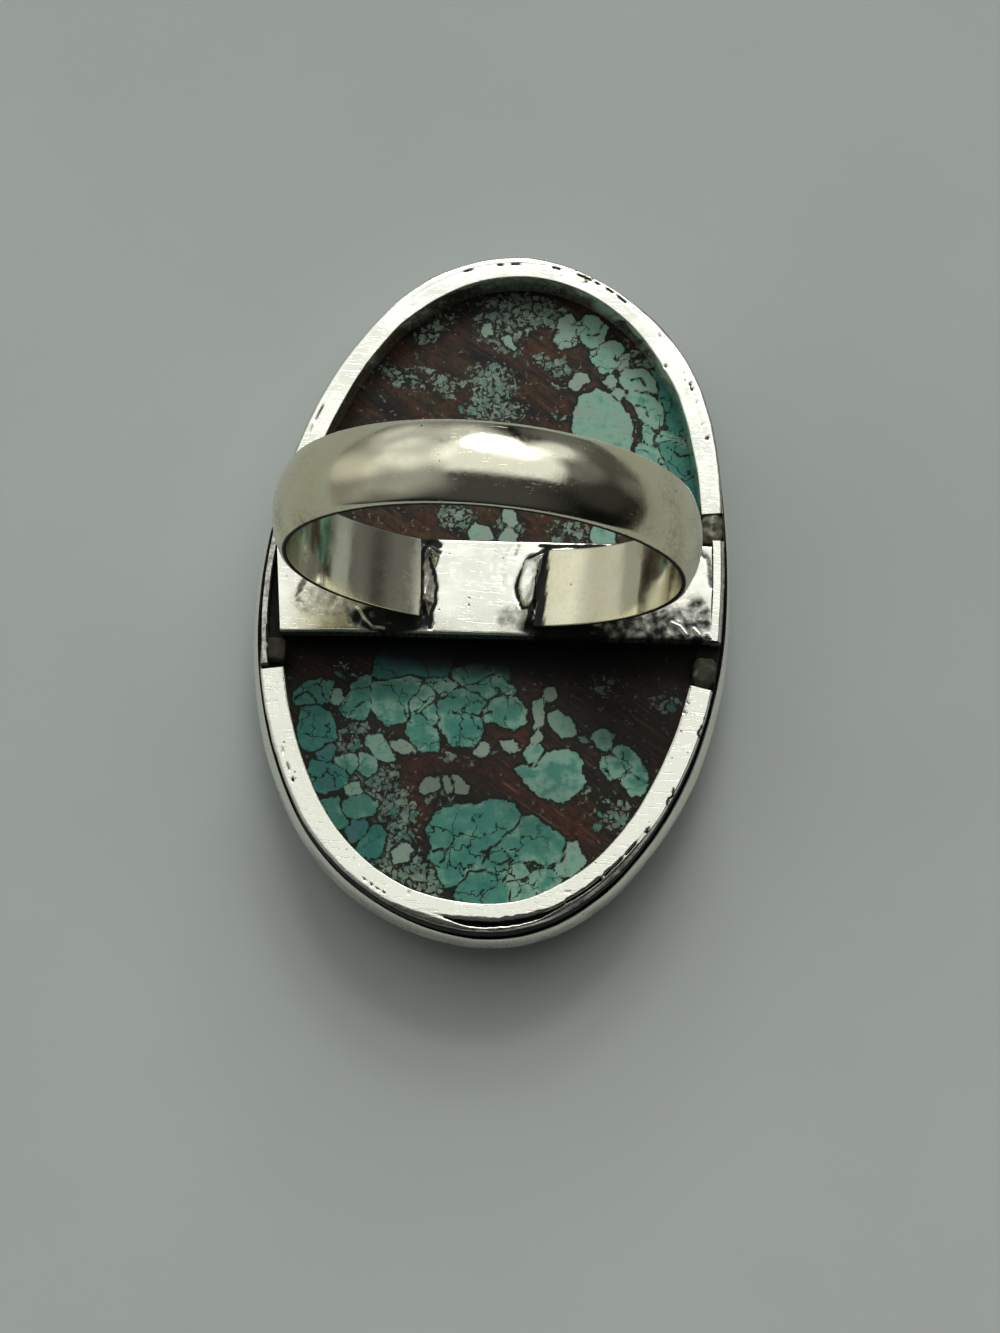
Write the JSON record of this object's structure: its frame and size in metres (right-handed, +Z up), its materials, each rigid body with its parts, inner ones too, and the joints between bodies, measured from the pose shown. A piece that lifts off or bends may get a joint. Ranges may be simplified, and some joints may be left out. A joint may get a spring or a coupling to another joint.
{
  "type": "turquoise ring",
  "caption": "Silver finger ring with a large oval turquoise cabochon in a bezel whose back is open, with a cross bar that carries a half-round band.",
  "frame": {"origin": "on the surface that the stone's crown rests on, under the middle of the bezel", "axes": "+Y along the finger and the long way of the oval, +Z up from the stone to the band, +X across"},
  "size_m": [0.0252, 0.0374, 0.0278],
  "materials": {
    "silver": "satin",
    "turquoise": "gloss"
  },
  "bodies": {
    "root": {"silver_setting": "silver", "turquoise_stone": "turquoise"}
  },
  "joints": []
}
